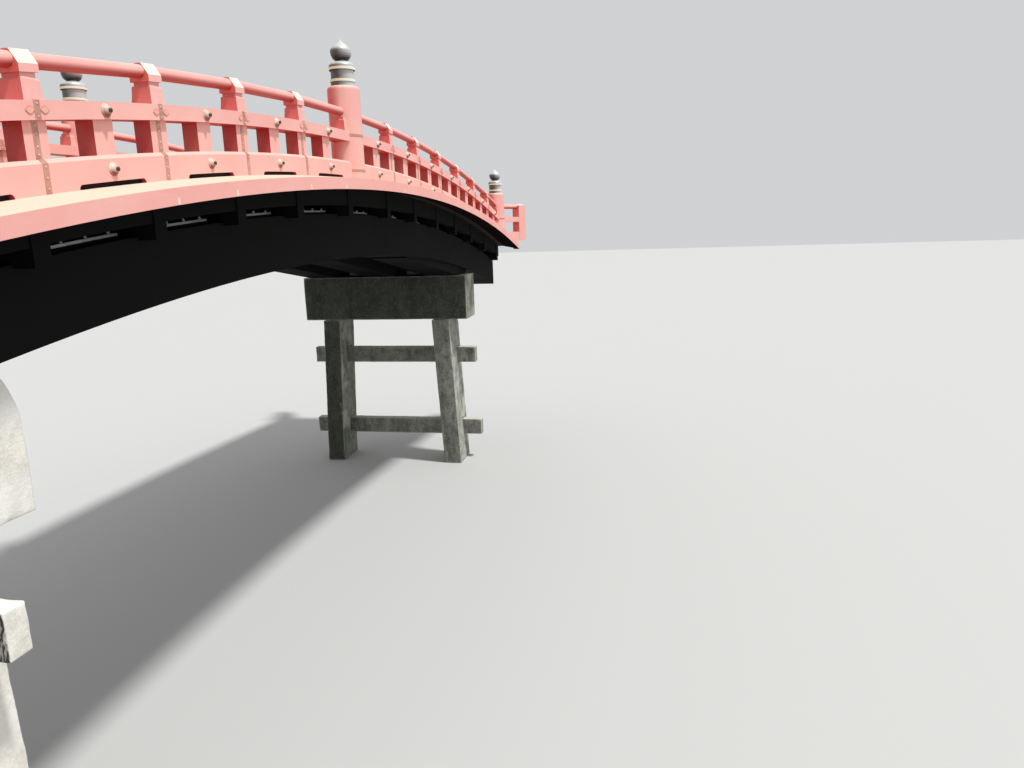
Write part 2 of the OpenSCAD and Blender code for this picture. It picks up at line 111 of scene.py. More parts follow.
class Look:
    """A node material that is built one step at a time."""

    def __init__(self, name, roughness=0.5, metallic=0.0, specular=0.5):
        self.mat = bpy.data.materials.new(name)
        self.mat.use_nodes = True
        self.tree = self.mat.node_tree
        self.shader = self.tree.nodes["Principled BSDF"]
        self.shader.inputs["Roughness"].default_value = roughness
        self.shader.inputs["Metallic"].default_value = metallic
        self.shader.inputs["Specular IOR Level"].default_value = specular
        self.coords = self.node("ShaderNodeTexCoord").outputs["Object"]

    def node(self, kind, **values):
        made = self.tree.nodes.new(kind)
        for key, value in values.items():
            setattr(made, key, value)
        return made

    def link(self, a, b):
        self.tree.links.new(a, b)

    def noise(self, scale, detail=4.0, roughness=0.55, stretch=(1, 1, 1), distortion=0.0):
        """Noise value of a given scale, stretched along the axes."""
        mapping = self.node("ShaderNodeMapping")
        mapping.inputs["Scale"].default_value = stretch
        self.link(self.coords, mapping.inputs["Vector"])
        made = self.node("ShaderNodeTexNoise")
        made.inputs["Scale"].default_value = scale
        made.inputs["Detail"].default_value = detail
        made.inputs["Roughness"].default_value = roughness
        made.inputs["Distortion"].default_value = distortion
        self.link(mapping.outputs["Vector"], made.inputs["Vector"])
        return made.outputs["Fac"]

    def band(self, value, low, high, to_low=0.0, to_high=1.0):
        """Maps a value from low..high to to_low..to_high, clamped."""
        made = self.node("ShaderNodeMapRange")
        limits = {"From Min": low, "From Max": high, "To Min": to_low, "To Max": to_high}
        for key, number in limits.items():
            made.inputs[key].default_value = number
        self.link(value, made.inputs["Value"])
        return made.outputs["Result"]

    def mix(self, fac, a, b):
        """Mixes two colours, each a tuple or a socket."""
        made = self.node("ShaderNodeMix", data_type="RGBA")
        self.link(fac, made.inputs["Factor"])
        for key, colour in (("A", a), ("B", b)):
            socket = [s for s in made.inputs if s.name == key and s.type == "RGBA"][0]
            if isinstance(colour, tuple):
                socket.default_value = colour
            else:
                self.link(colour, socket)
        return [s for s in made.outputs if s.type == "RGBA"][0]

    def times(self, a, b):
        """Product of two values, each a number or a socket."""
        made = self.node("ShaderNodeMath", operation="MULTIPLY")
        for socket, value in zip(made.inputs, (a, b)):
            if isinstance(value, float):
                socket.default_value = value
            else:
                self.link(value, socket)
        return made.outputs["Value"]

    def larger(self, a, b):
        """The larger of two sockets' values."""
        made = self.node("ShaderNodeMath", operation="MAXIMUM")
        self.link(a, made.inputs[0])
        self.link(b, made.inputs[1])
        return made.outputs["Value"]

    def facing(self, axis):
        """Cosine between the surface's outward direction and an axis of the bridge."""
        geometry = self.node("ShaderNodeNewGeometry")
        split = self.node("ShaderNodeSeparateXYZ")
        self.link(geometry.outputs["Normal"], split.inputs["Vector"])
        return split.outputs[axis]

    def upward(self, low, high):
        """1 where the surface faces up; with falling limits, 1 where it faces down."""
        return self.band(self.facing("Z"), low, high)

    def along(self, axis, low, high):
        """1 where the surface faces along an axis, either way."""
        size = self.node("ShaderNodeMath", operation="ABSOLUTE")
        self.link(self.facing(axis), size.inputs[0])
        return self.band(size.outputs["Value"], low, high)

    def arris(self, low, high):
        """1 along the worn outer edges of a finely divided mesh."""
        geometry = self.node("ShaderNodeNewGeometry")
        return self.band(geometry.outputs["Pointiness"], low, high)

    def colour(self, socket):
        self.link(socket, self.shader.inputs["Base Color"])

    def rough(self, value, low, high):
        """Roughness from low to high as the value rises."""
        self.link(self.band(value, 0.3, 0.7, low, high), self.shader.inputs["Roughness"])

    def bump(self, value, strength, distance, under=None):
        """Relief from a value, on top of the relief that is given as under."""
        made = self.node("ShaderNodeBump")
        made.inputs["Strength"].default_value = strength
        made.inputs["Distance"].default_value = distance
        self.link(value, made.inputs["Height"])
        if under is not None:
            self.link(under, made.inputs["Normal"])
        self.link(made.outputs["Normal"], self.shader.inputs["Normal"])
        return made.outputs["Normal"]


def lacquer(name, front, faded, side, dusty_sunlit, under, grain=BEAM_GRAIN, specular=0.4,
            roughness=0.38, flats=True, dust_and_sun_from=0.55, dust_and_sun_to=0.97, under_from=0.0):
    """Weathered lacquer over timber, with a colour for each way that a surface can face.

    front and faded are the sunlit copy, faded in patches, on the faces that look downstream.
    side is painted shade for those that look upstream, and with flats also for those that
    don't look across the bridge. The tops' colour is dust with painted sunlight, and under is
    painted shade on the undersides.
    """
    look = Look(name, specular=specular)
    patches = look.noise(0.9, 5.0, 0.6)
    streaks = look.noise(3.0, 4.0, 0.6, stretch=grain)
    fine = look.noise(38.0, 3.0, 0.6)
    body = look.mix(look.band(patches, 0.35, 0.68), front, faded)
    body = look.mix(look.band(streaks, 0.5, 0.78, 0.0, 0.4), body, faded)
    # Painted shade: the side colour on faces that look upstream, and with flats on those that don't
    # look across the bridge
    shaded_faces = look.band(look.facing("Y"), -0.15, 0.45)
    if flats:
        shaded_faces = look.larger(shaded_faces, look.along("Y", 0.12, 0.03))
    body = look.mix(look.times(shaded_faces, look.band(patches, 0.3, 0.7, 1.0, 0.8)), body, side)
    # Dust with painted sunlight: the tops' colour on faces that look up
    dust_and_sunlight = look.times(look.upward(dust_and_sun_from, dust_and_sun_to), look.band(fine, 0.3, 0.7, 0.8, 1.0))
    body = look.mix(dust_and_sunlight, body, dusty_sunlit)
    # Painted shade: the under colour on faces that look down
    look.colour(look.mix(look.upward(under_from, under_from - 0.75), body, under))
    look.rough(patches, roughness, roughness + 0.2)
    relief = look.bump(streaks, 0.22, 0.004)
    look.bump(fine, 0.08, 0.002, relief)
    return look.mat


def granite(name, end, side, lichen, stain, specks, weather, tooled=0.0):
    """Rough stone with lichen, damp and worn arrises.

    side is painted shade on the faces that look along the bridge, and end colours all the others.
    specks, weather and tooled are the strengths of the speckle, of the stains and of the chiselled
    grooves, which are darkened with painted shade.
    """
    look = Look(name, roughness=0.86, specular=0.3)
    grain = look.noise(42.0, 6.0, 0.75)
    speck = look.noise(15.0, 5.0, 0.7)
    cloud = look.noise(1.6, 6.0, 0.65)
    mottle = look.noise(5.0, 5.0, 0.6)
    patch = look.noise(1.3, 3.0, 0.5)
    drips = look.noise(2.2, 5.0, 0.6, stretch=(1.6, 1.6, 0.35))
    # Painted shade: the side colour on faces that look along the bridge
    body = look.mix(look.along("X", 0.4, 0.8), end, side)
    body = look.mix(look.band(cloud, 0.35, 0.7, 0.0, weather), body, stain)
    body = look.mix(look.band(drips, 0.48, 0.66, 0.0, weather), body, stain)
    body = look.mix(look.band(mottle, 0.47, 0.62, 0.0, 0.7 * weather), body, stain)
    body = look.mix(look.band(grain, 0.45, 0.62, 0.0, specks), body, stain)
    body = look.mix(look.band(speck, 0.5, 0.62, 0.0, specks), body, lichen)
    crust = look.times(look.along("Y", 0.4, 0.8), look.band(patch, 0.53, 0.66, 0.0, 0.6))
    body = look.mix(crust, body, lichen)
    top = look.times(look.upward(0.3, 0.95), look.band(grain, 0.3, 0.6, 0.4, 0.8))
    body = look.mix(top, body, lichen)
    worn = look.times(look.arris(0.515, 0.56), look.band(cloud, 0.3, 0.6, 0.2, 0.7))
    body = look.mix(worn, body, lichen)
    # Chiselled grooves on faces that look along the bridge, darkened with painted shade
    grooves = look.noise(26.0, 2.0, 0.5, stretch=(1.0, 1.0, 0.3), distortion=1.2)
    cut = look.times(look.along("X", 0.6, 0.9), look.band(grooves, 0.56, 0.46, 0.0, tooled))
    look.colour(look.mix(cut, body, GROOVE_SHADE))
    relief = look.bump(cloud, 0.5, 0.04)
    relief = look.bump(mottle, 0.4, 0.02, relief)
    relief = look.bump(speck, 0.2 + specks, 0.012, relief)
    relief = look.bump(grain, 0.5, 0.005, relief)
    look.bump(cut, 0.8, -0.01, relief)
    return look.mat


def metal(name, base, tarnish, roughness, metallic, scale=6.0, top=None, under=None, front=None):
    """Metal with tarnish in patches; if given, painted sunlight above, shade below, sheen downstream.
    """
    look = Look(name, roughness=roughness, metallic=metallic)
    patches = look.noise(scale, 5.0, 0.65)
    fine = look.noise(60.0, 3.0, 0.6)
    body = look.mix(look.band(patches, 0.4, 0.7), base, tarnish)
    body = look.mix(look.band(fine, 0.5, 0.8, 0.0, 0.4), body, tarnish)
    # Painted sheen: the front colour on faces that look downstream
    if front:
        body = look.mix(look.band(look.facing("Y"), 0.05, -1.0), body, front)
    # Painted sunlight: the top colour on faces that look up
    if top:
        body = look.mix(look.upward(0.05, 0.75), body, top)
    # Painted shade: the under colour on faces that look down
    if under:
        body = look.mix(look.upward(-0.05, -0.6), body, under)
    look.colour(body)
    look.rough(patches, roughness - 0.08, roughness + 0.14)
    look.bump(fine, 0.15, 0.001)
    return look.mat


SHADE = srgb(34, 24, 24)
# Painted shade for the chiselled grooves of the stone
GROOVE_SHADE = srgb(52, 51, 48)
# Lacquer reds: a sunlit copy for faces that look downstream; painted shade for the sides, for the short
# posts under the middle rail and for undersides; dust with painted sunlight for tops
RED_SUNLIT_FRONT = srgb(246, 176, 168)
RED_SUNLIT_FADED = srgb(249, 190, 179)
RED_SHADED_SIDE = srgb(226, 98, 92)
RED_DUST_AND_SUN = srgb(232, 218, 198)
RED_SHADED_UNDER = srgb(196, 66, 62)
RED_SHADED_INNER = srgb(176, 44, 42)
# Stone: pale as the near pier's sunlit copy, with lichen crust and stains
STONE_PALE = srgb(248, 244, 234)
STONE_CRUST = srgb(251, 249, 241)
STONE_STAIN = srgb(178, 171, 158)

VERMILION = lacquer("vermilion", RED_SUNLIT_FRONT, RED_SUNLIT_FADED, RED_SHADED_SIDE, RED_DUST_AND_SUN, RED_SHADED_UNDER)
STUB_RED = lacquer("stub_vermilion", RED_SUNLIT_FRONT, RED_SUNLIT_FADED, RED_SHADED_INNER, RED_DUST_AND_SUN, RED_SHADED_UNDER)
ROUND_RED = lacquer("post_vermilion", RED_SUNLIT_FRONT, RED_SUNLIT_FADED, RED_SHADED_SIDE, RED_DUST_AND_SUN, RED_SHADED_UNDER,
                    flats=False)
# Handrails: painted shade on the lower side, dust with painted sunlight on top
RAIL_RED = lacquer("rail_vermilion", srgb(246, 168, 160), srgb(248, 182, 172), RED_SHADED_SIDE,
                   srgb(240, 190, 178), srgb(188, 56, 52), flats=False, dust_and_sun_from=0.75,
                   under_from=0.15)
# Saddles: near-white tops as painted sunlight, with dust
SADDLE_RED = lacquer("saddle_vermilion", RED_SUNLIT_FRONT, RED_SUNLIT_FADED, RED_SHADED_SIDE, srgb(250, 244, 226),
                     RED_SHADED_UNDER, dust_and_sun_from=0.3, dust_and_sun_to=0.6)
# Edge beams, deck and black timber: painted shade on sides and undersides, dust with painted sunlight
# on tops
EDGE_RED = lacquer("edge_vermilion", RED_SUNLIT_FRONT, RED_SUNLIT_FADED, RED_SHADED_SIDE, srgb(226, 208, 188), SHADE,
                   specular=0.0, roughness=0.6)
DECK_RED = lacquer("deck_red", srgb(150, 62, 48), srgb(178, 98, 78), srgb(120, 46, 40),
                   srgb(188, 132, 110), SHADE, grain=PLANK_GRAIN, specular=0.1, roughness=0.6)
BLACK = lacquer("black_lacquer", srgb(20, 21, 20), srgb(27, 28, 26), srgb(17, 18, 18),
                srgb(48, 48, 44), srgb(13, 14, 14), specular=0.05, roughness=0.75)
# Near pier: the sunlit copy of the granite, with painted shade on the faces that look along the bridge
NEAR_STONE = granite("granite_near", STONE_PALE, srgb(134, 133, 128), STONE_CRUST, STONE_STAIN,
                     0.3, 0.35)
NEAR_TIE_STONE = granite("granite_tooled", STONE_PALE, srgb(168, 166, 160), STONE_CRUST,
                         STONE_STAIN, 0.3, 0.35, tooled=0.95)
# Far pier: darker than the near one as painted shade, with dark stains
FAR_STONE = granite("granite_far", srgb(196, 196, 184), srgb(158, 157, 148), srgb(208, 208, 195),
                    srgb(66, 67, 60), 0.2, 0.6)
# Far cap and upstream pillar: darkest, as painted shade of the bridge and trees, with dark stains
FAR_SHADE_STONE = granite("granite_far_shade", srgb(152, 154, 142), srgb(78, 81, 73), srgb(200, 201, 187),
                     srgb(40, 42, 36), 0.08, 0.5)
# Bronze: painted sunlight on top, painted shade under and a painted sheen downstream
BRONZE = metal("dark_bronze", srgb(98, 97, 96), srgb(76, 76, 77), 0.4, 0.3,
               top=srgb(212, 213, 208), under=srgb(44, 44, 47), front=srgb(214, 214, 212))
TIP = metal("dark_tips", srgb(84, 74, 68), srgb(56, 50, 48), 0.4, 0.4)
# Gilt: a painted sheen on faces that look downstream
GILT = metal("gilt", srgb(253, 240, 204), srgb(247, 224, 172), 0.4, 0.15,
             front=srgb(250, 248, 238))
# Knobs: painted shade on their undersides
KNOB = metal("gilt_knob", srgb(232, 212, 194), srgb(204, 172, 154), 0.5, 0.1, scale=9.0,
             under=srgb(140, 76, 70))
STRAP = metal("copper_strap", srgb(210, 158, 142), srgb(178, 130, 116), 0.5, 0.15)
PLATE = metal("flower_plate", srgb(246, 184, 168), srgb(238, 174, 156), 0.5, 0.1)
RIM = metal("flower_rim", srgb(224, 152, 136), srgb(206, 140, 122), 0.5, 0.1)
NAIL = metal("nail_heads", srgb(240, 208, 192), srgb(206, 160, 144), 0.45, 0.15)
# Painted shade for the drain slots
DRAIN_SHADE = metal("drain_shade_boards", srgb(26, 18, 16), srgb(18, 13, 12), 0.8, 0.0)
BAR = metal("bare_metal", srgb(206, 209, 206), srgb(172, 176, 174), 0.5, 0.2)
CLIP = metal("pale_clips", srgb(246, 236, 210), srgb(232, 216, 184), 0.5, 0.1)

# How a node's name starts, and its material
LOOKS = {
    "tie_upper_near": NEAR_TIE_STONE,
    "tie_lower_near": NEAR_TIE_STONE,
    "cap_far": FAR_SHADE_STONE,
    "pillar_far_upstream": FAR_SHADE_STONE,
    "girder": BLACK,
    "corbels": BLACK,
    "cross": BLACK,
    "stringer": BLACK,
    "deck": DECK_RED,
    "finials": BRONZE,
    "edge": EDGE_RED,
    "stub_posts": STUB_RED,
    "main": ROUND_RED,
    "handrail": RAIL_RED,
    "wing_handrails": RAIL_RED,
    "saddles": SADDLE_RED,
}
STONES = ("pillar", "cap", "tie")


def look_for(node):
    """Material of a node: its own where LOOKS has one, or else its pier's granite or vermilion."""
    for start, mat in LOOKS.items():
        if node.startswith(start):
            return mat
    if node.startswith(STONES):
        return NEAR_STONE if "near" in node else FAR_STONE
    return VERMILION


# Mesh helpers

def piece(name, verts, faces, mat, smooth=False):
    """A mesh object in the bridge's frame that rides on the only body."""
    mesh = bpy.data.meshes.new(name)
    mesh.from_pydata(verts, [], faces)
    mesh.validate()
    bm = bmesh.new()
    bm.from_mesh(mesh)
    bmesh.ops.recalc_face_normals(bm, faces=bm.faces)
    bm.to_mesh(mesh)
    bm.free()
    mesh.materials.append(mat)
    for poly in mesh.polygons:
        poly.use_smooth = smooth
    obj = bpy.data.objects.new(name, mesh)
    bpy.context.scene.collection.objects.link(obj)
    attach(obj, "root")
    return obj


class Heap:
    """Many small solids that are joined into one mesh."""

    def __init__(self):
        self.verts = []
        self.faces = []

    def add(self, verts, faces):
        """Adds a solid; its faces count its own points from 0."""
        start = len(self.verts)
        self.verts += [tuple(v) for v in verts]
        self.faces += [tuple(start + i for i in f) for f in faces]

    def prism(self, ring_a, ring_b):
        """A closed solid between two rings with the same count of points."""
        n = len(ring_a)
        ends = [tuple(range(n - 1, -1, -1)), tuple(range(n, 2 * n))]
        sides = [(i, (i + 1) % n, n + (i + 1) % n, n + i) for i in range(n)]
        self.add(list(ring_a) + list(ring_b), ends + sides)

    def lathe(self, profile, origin, axis, side, count=24):
        """Turns [radius, distance along axis] about an axis; side is square to it."""
        third = axis.cross(side)
        rings = []
        for i in range(count):
            turn = 2 * math.pi * i / count
            out = side * math.cos(turn) + third * math.sin(turn)
            rings.append([origin + axis * d + out * r for r, d in profile])
        m = len(profile)
        verts = [p for ring in rings for p in ring]
        faces = []
        for i in range(count):
            j = (i + 1) % count
            for s in range(m - 1):
                faces.append((i * m + s, j * m + s, j * m + s + 1, i * m + s + 1))
        faces.append(tuple(i * m for i in range(count - 1, -1, -1)))
        faces.append(tuple(i * m + m - 1 for i in range(count)))
        self.add(verts, faces)

    def make(self, name, mat, slot, smooth=False):
        """The piece that all the solids make together."""
        return piece(name, self.verts, self.faces, mat, smooth)


BEVEL_ANGLE = math.radians(30)
TIMBER_BEVEL = 0.008
PLANK_BEVEL = 0.004
ROUND_NODES = ("main", "finials", "handrail", "wing_handrails")


def bevel(obj, width, segments=2):
    """A small bevel along the sharp edges."""
    made = obj.modifiers.new("bevel", "BEVEL")
    made.width = width
    made.segments = segments
    made.limit_method = "ANGLE"
    made.angle_limit = BEVEL_ANGLE
    made.harden_normals = False


def dress_frame():
    """New materials on the solids, soft edges on the timber, hewn faces on the stone."""
    for node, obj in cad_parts.items():
        mat = look_for(node)
        for slot in obj.material_slots:
            slot.material = mat
        if node.startswith(STONES):
            hewn_stone(node, obj, mat)
        elif not node.startswith(ROUND_NODES):
            bevel(obj, TIMBER_BEVEL)


# Hewn stone: the cells that its faces are cut into, the width of its worn arrises, and the limits
# for points that merge, faces that are one plane and edges that are sharp
STONE_CELL = 0.07
ARRIS = 0.022
MERGE = 1e-5
SAME_PLANE = math.radians(1)
SHARP_ANGLE = 0.2

# Depth of the hewn face under the smooth one: a mean, swells and dents everywhere, and chips
# where the face isn't square to any axis, which is on the arrises
MEAN_DEPTH = 0.007
SWELL_SCALE = 1.7
SWELL_DEPTH = 0.006
DENT_SCALE = 7
DENT_DEPTH = 0.004
FLAT_FACE = 0.97
CHIP_SCALE = 4.3
CHIP_DEPTH = 0.03
CHIP_FROM = 0.05


def hewn_stone(node, obj, mat):
    """An uneven stone with worn arrises, inside the outline of the smooth one that it stands for."""
    bm = bmesh.new()
    bm.from_mesh(obj.data)
    bmesh.ops.remove_doubles(bm, verts=bm.verts, dist=MERGE)
    bmesh.ops.dissolve_limit(bm, angle_limit=SAME_PLANE, verts=bm.verts, edges=bm.edges)
    sharp = [e for e in bm.edges if len(e.link_faces) == 2 and e.calc_face_angle() > SHARP_ANGLE]
    bmesh.ops.bevel(bm, geom=sharp, offset=ARRIS, segments=2, profile=0.6, affect="EDGES",
                    clamp_overlap=True)
    low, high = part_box(node)
    for axis in range(3):
        across = Vector([float(i == axis) for i in range(3)])
        count = round((high[axis] - low[axis]) / STONE_CELL)
        for i in range(1, count):
            spot = Vector(low) + across * (high[axis] - low[axis]) * i / count
            bmesh.ops.bisect_plane(bm, geom=bm.verts[:] + bm.edges[:] + bm.faces[:], dist=MERGE,
                                   plane_co=spot, plane_no=across)
    bmesh.ops.triangulate(bm, faces=[f for f in bm.faces if len(f.verts) > 4])
    bm.normal_update()
    moves = []
    for v in bm.verts:
        swell = SWELL_DEPTH * noise.noise(v.co * SWELL_SCALE)
        dent = DENT_DEPTH * noise.noise(v.co * DENT_SCALE)
        depth = MEAN_DEPTH + swell + dent
        if max(abs(c) for c in v.normal) < FLAT_FACE:
            depth += CHIP_DEPTH * max(0, noise.noise(v.co * CHIP_SCALE) - CHIP_FROM)
        moves.append(v.normal * max(depth, 0))
    for v, move in zip(bm.verts, moves):
        v.co -= move
    mesh = bpy.data.meshes.new(node + "_hewn")
    bm.to_mesh(mesh)
    bm.free()
    mesh.materials.append(mat)
    for poly in mesh.polygons:
        poly.use_smooth = True
    made = bpy.data.objects.new(node + "_hewn", mesh)
    bpy.context.scene.collection.objects.link(made)
    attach(made, "root")
    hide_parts(node)


# Deck

PLANK_W = 0.236
PLANK_GAP = 0.007
# A plank lies none to three of these under the deck line
PLANK_WEAR = 0.0015


def deck_planks():
    """Cross planks with open seams, worn unevenly, in place of the solid deck slab."""
    heap = Heap()
    count = round(2 * HALF_LEN / (PLANK_W + PLANK_GAP))
    pitch = 2 * HALF_LEN / count
    for i in range(count):
        x0 = -HALF_LEN + i * pitch + PLANK_GAP / 2
        x1 = x0 + pitch - PLANK_GAP
        drop = PLANK_WEAR * ((i * 7) % 4)
        corners = [(x0, -PLANK_T), (x1, -PLANK_T), (x1, -drop), (x0, -drop)]
        heap.prism(*[[(x, y, line_z(x, h)) for x, h in corners] for y in (-HALF_W, HALF_W)])
    planks = heap.make("planks", DECK_RED, "deck_timber")
    bevel(planks, PLANK_BEVEL, 1)
    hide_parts("deck_planks")


# Fittings on the balustrades

STRAP_W = 0.076
STRAP_T = 0.004
STRAP_FOOT = 0.004
MITRE_LEAST = 0.3
MID_AXIS = (MID_H + MID_TOP) / 2
STUB_IN = (RAIL_D - STUB_D) / 2
SILL_KNOB_H = 0.178
# Heights of the nails on middle rail and sill, and on the short posts
RAIL_NAILS = (MID_H + 0.032, MID_TOP - 0.032, 0.05, 0.155, 0.26)
STUB_NAILS = (0.375, 0.45, 0.575, 0.65)
RIM_T = 0.003
PLATE_T = 0.0045
PLATE_IN = 0.007

# Turned profiles: radius, and distance from the face that carries the piece
NAIL_R = 0.011
NAIL_PROFILE = [
    (NAIL_R, -0.002), (NAIL_R, 0.002), (0.8 * NAIL_R, 0.006), (0.45 * NAIL_R, 0.009),
    (0.05 * NAIL_R, 0.010),
]
KNOB_PROFILE = [
    (0.074, -0.002), (0.074, 0.006), (0.067, 0.01), (0.061, 0.012), (0.058, 0.022),
    (0.05, 0.034), (0.036, 0.043), (0.026, 0.047), (0.022, 0.048),
]
TIP_PROFILE = [
    (0.02, 0.046), (0.018, 0.052), (0.024, 0.058), (0.026, 0.064), (0.02, 0.071),
    (0.008, 0.076), (0.001, 0.078),
]

# Straps as paths of depth behind the outer face and height over the deck line
RAIL_STRAP = [(0, MID_H), (0, MID_TOP), (RAIL_D, MID_TOP), (RAIL_D, MID_H), (0, MID_H)]
SILL_STRAP = [
    (0, STRAP_FOOT), (0, SILL_H - SILL_CHAMFER), (SILL_CHAMFER, SILL_H),
    (RAIL_D - SILL_CHAMFER, SILL_H), (RAIL_D, SILL_H - SILL_CHAMFER), (RAIL_D, STRAP_FOOT),
]
OUTER_STUB_STRAP = [(STUB_IN, SILL_H), (STUB_IN, MID_H)]
INNER_STUB_STRAP = [(RAIL_D - STUB_IN, MID_H), (RAIL_D - STUB_IN, SILL_H)]

# Outward direction, depth of the straps' face on the rails, and on the short posts
STRAP_FACES = (
    (1, -STRAP_T, STUB_IN - STRAP_T),
    (-1, RAIL_D + STRAP_T, RAIL_D - STUB_IN + STRAP_T),
)


def side_point(side, depth, x, h):
    """A point at a depth inside the balustrade's outer face; side is -1 downstream, 1 upstream."""
    return Vector((x, side * (HALF_W - depth), line_z(x, h)))


def strap_strip(heap, side, x, path):
    """A flat strap along a path of [depth, height], standing proud of it to the left of its run."""
    half = STRAP_W / 2
    outer = []
    for i, (d, h) in enumerate(path):
        before = Vector(path[max(i - 1, 0)])
        after = Vector(path[min(i + 1, len(path) - 1)])
        here = Vector((d, h))
        normals = []
        for a, b in ((before, here), (here, after)):
            step = b - a
            if step.length > 1e-6:
                step.normalize()
                normals.append(Vector((-step.y, step.x)))
        total = sum(normals, Vector((0, 0)))
        total.normalize()
        lift = STRAP_T / max(total.dot(normals[0]), MITRE_LEAST)
        outer.append(here + total * lift)
    loop = [Vector(p) for p in path] + outer[::-1]
    rings = []
    for xs in (x - half, x + half):
        rings.append([side_point(side, p.x, xs, p.y) for p in loop])
    n = len(path)
    for i in range(n - 1):
        quad = [i, i + 1, 2 * n - 2 - i, 2 * n - 1 - i]
        heap.prism([rings[0][q] for q in quad], [rings[1][q] for q in quad])


def nail(heap, side, depth, x, h, outward):
    """A domed nail head; outward is 1 on a face that looks away from the deck, -1 towards it."""
    axis = Vector((0, side * outward, 0))
    heap.lathe(NAIL_PROFILE, side_point(side, depth, x, h), axis, ALONG, 12)


def fittings():
    """Straps, nails and leaves at the short posts, and knobs half a bay from them."""
    straps, nails = Heap(), Heap()
    knobs, tips = Heap(), Heap()
    plates, rims = Heap(), Heap()
    for side in SIDES:
        for x in WHOLE:
            for path in (RAIL_STRAP, SILL_STRAP, OUTER_STUB_STRAP, INNER_STUB_STRAP):
                strap_strip(straps, side, x, path)
            for outward, face, post_face in STRAP_FACES:
                for h in RAIL_NAILS:
                    nail(nails, side, face, x, h, outward)
                for h in STUB_NAILS:
                    nail(nails, side, post_face, x, h, outward)
                for heap, inset, thick in ((rims, 0.0, RIM_T), (plates, PLATE_IN, PLATE_T)):
                    leaves(heap, side, face, x, MID_AXIS, outward, inset, thick)
        for x in HALVES:
            for h in (MID_AXIS, SILL_KNOB_H):
                for outward, face in ((1, 0.0), (-1, RAIL_D)):
                    knob(knobs, tips, side, face, x, h, outward)
    straps.make("copper_straps", STRAP, "copper_strap")
    nails.make("strap_nails", NAIL, "copper_strap", smooth=True)
    knobs.make("knobs", KNOB, "gilt_metal", smooth=True)
    tips.make("knob_tips", TIP, "dark_bronze", smooth=True)
    plates.make("flower_plates", PLATE, "copper_strap")
    rims.make("flower_rims", RIM, "copper_strap")


LEAF_START = 0.034
LEAF_END = 0.156
LEAF_H = 0.038
LEAF_STEPS = 10
LEAF_SINK = 0.001


def leaves(heap, side, depth, x, h, outward, inset, thick):
    """Two thin pointed leaves, one on each side of the strap."""
    for way in (-1, 1):
        edge = []
        for i in range(LEAF_STEPS + 1):
            t = i / LEAF_STEPS
            u = LEAF_START + inset + (LEAF_END - LEAF_START - 2 * inset) * t
            edge.append((way * u, (LEAF_H - inset) * math.sin(math.pi * t) ** 1.2))
        points = edge + [(u, -w) for u, w in edge[-2:0:-1]]
        rings = []
        for lift in (-LEAF_SINK, thick):
            out = Vector((0, side * outward * lift, 0))
            rings.append([side_point(side, depth, x + u, h + w) + out for u, w in points])
        heap.prism(*rings)


def knob(heap, tips, side, depth, x, h, outward):
    """A nail cover: a washer, a dome and a turned tip."""
    origin = side_point(side, depth, x, h)
    axis = Vector((0, side * outward, 0))
    heap.lathe(KNOB_PROFILE, origin, axis, ALONG)
    tips.lathe(TIP_PROFILE, origin, axis, ALONG, 16)


# Dark boards that stand in the drain slots as painted shade
SHADE_BOARD_IN = 0.06
SHADE_BOARD_T = 0.015
SHADE_BOARD_FOOT = 0.002
DRAIN_L = 1.1
DRAIN_H = 0.052
DRAIN_PARTS = 6
SHADE_BOARD_TOP = DRAIN_H + 0.006


def drain_shade_boards():
    """A dark board behind each of the sills' drain slots, as painted shade in the slot."""
    heap = Heap()
    front = SHADE_BOARD_IN
    back = SHADE_BOARD_IN + SHADE_BOARD_T
    section = [(front, SHADE_BOARD_FOOT), (back, SHADE_BOARD_FOOT), (back, SHADE_BOARD_TOP), (front, SHADE_BOARD_TOP)]
    for side in SIDES:
        for middle in HALVES:
            cuts = [middle + DRAIN_L * (i / DRAIN_PARTS - 0.5) for i in range(DRAIN_PARTS + 1)]
            for ends in zip(cuts, cuts[1:]):
                heap.prism(*[[side_point(side, depth, x, h) for depth, h in section] for x in ends])
    heap.make("drain_shade_boards", DRAIN_SHADE, "black_lacquer")


CLIP_PLACES = (-6.94, -5.67, -3.48, -2.09, 1.05)
CLIP_W = 0.045
CLIP_H = 0.075
CLIP_SINK = 0.002
CLIP_PROUD = 0.005
CLIP_FOOT = -LEDGE_FALL - EDGE_H + 0.004
# Corners as parts of half the width, and height: the plates are narrower at the top
CLIP_CORNERS = ((-1, 0), (1, 0), (0.6, CLIP_H), (-0.6, CLIP_H))


def edge_clips():
    """Small pale plates on the lower edge of each edge beam."""
    heap = Heap()
    for side in SIDES:
        face = side * (HALF_W + LEDGE_W)
        for x in CLIP_PLACES:
            rings = []
            for y in (face - side * CLIP_SINK, face + side * CLIP_PROUD):
                rings.append([Vector((x + u * CLIP_W / 2, y, line_z(x, CLIP_FOOT + w)))
                              for u, w in CLIP_CORNERS])
            heap.prism(*rings)
    heap.make("edge_clips", CLIP, "galvanised")


# Lowest and highest level of each copper band over the deck line, then the radius that each gilt
# band goes round and its levels over the post's top
POST_BANDS = ((0.13, 0.18), (0.785, 0.835))
GILT_BANDS = ((SKIRT_R + 0.008, 0.076, 0.126), (SKIRT_R + 0.02, 0.292, 0.344))
BAND_PROUD = 0.005
BAND_SINK = 0.004
BAND_CHAMFER = 0.002
BAND_STEPS = 96


def post_spots():
    """Axis point at deck level of each of the six main posts."""
    places = (-HALF_SPAN, 0, HALF_SPAN)
    return [Vector((x, side * AXIS_Y, line_z(x))) for side in SIDES for x in places]


